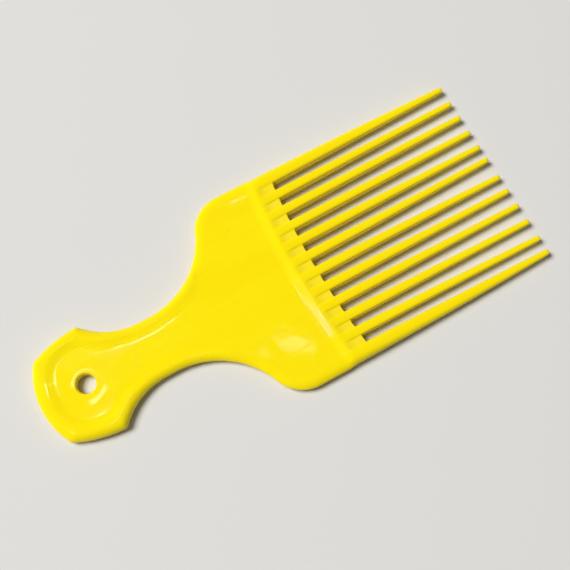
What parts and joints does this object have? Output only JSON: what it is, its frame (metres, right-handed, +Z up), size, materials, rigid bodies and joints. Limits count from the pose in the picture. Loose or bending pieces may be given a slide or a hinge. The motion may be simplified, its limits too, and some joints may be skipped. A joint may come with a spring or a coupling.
{
  "type": "hair pick",
  "caption": "Flat hair pick moulded in one piece: rounded handle with a hanging hole, waisted neck, broad blade and a row of long tapered teeth for lifting and combing hair.",
  "frame": {"origin": "under the middle of the pick's length and width, on the surface it lies on", "axes": "+X along the pick from the handle end to the tooth tips, +Y across the tooth row, +Z up through the thickness"},
  "size_m": [0.1778, 0.0762, 0.005],
  "materials": {
    "yellow_plastic": "opaque yellow plastic, glossy as moulded, lightly scuffed"
  },
  "bodies": {
    "root": {"handle_pad": "yellow_plastic", "handle_neck": "yellow_plastic", "blade": "yellow_plastic", "tooth_ridge": "yellow_plastic", "tooth_01": "yellow_plastic", "tooth_02": "yellow_plastic", "tooth_03": "yellow_plastic", "tooth_04": "yellow_plastic", "tooth_05": "yellow_plastic", "tooth_06": "yellow_plastic", "tooth_07": "yellow_plastic", "tooth_08": "yellow_plastic", "tooth_09": "yellow_plastic", "tooth_10": "yellow_plastic", "tooth_11": "yellow_plastic", "tooth_12": "yellow_plastic", "root_web_01": "yellow_plastic", "root_web_02": "yellow_plastic", "root_web_03": "yellow_plastic", "root_web_04": "yellow_plastic", "root_web_05": "yellow_plastic", "root_web_06": "yellow_plastic", "root_web_07": "yellow_plastic", "root_web_08": "yellow_plastic", "root_web_09": "yellow_plastic", "root_web_10": "yellow_plastic", "root_web_11": "yellow_plastic"}
  },
  "joints": []
}
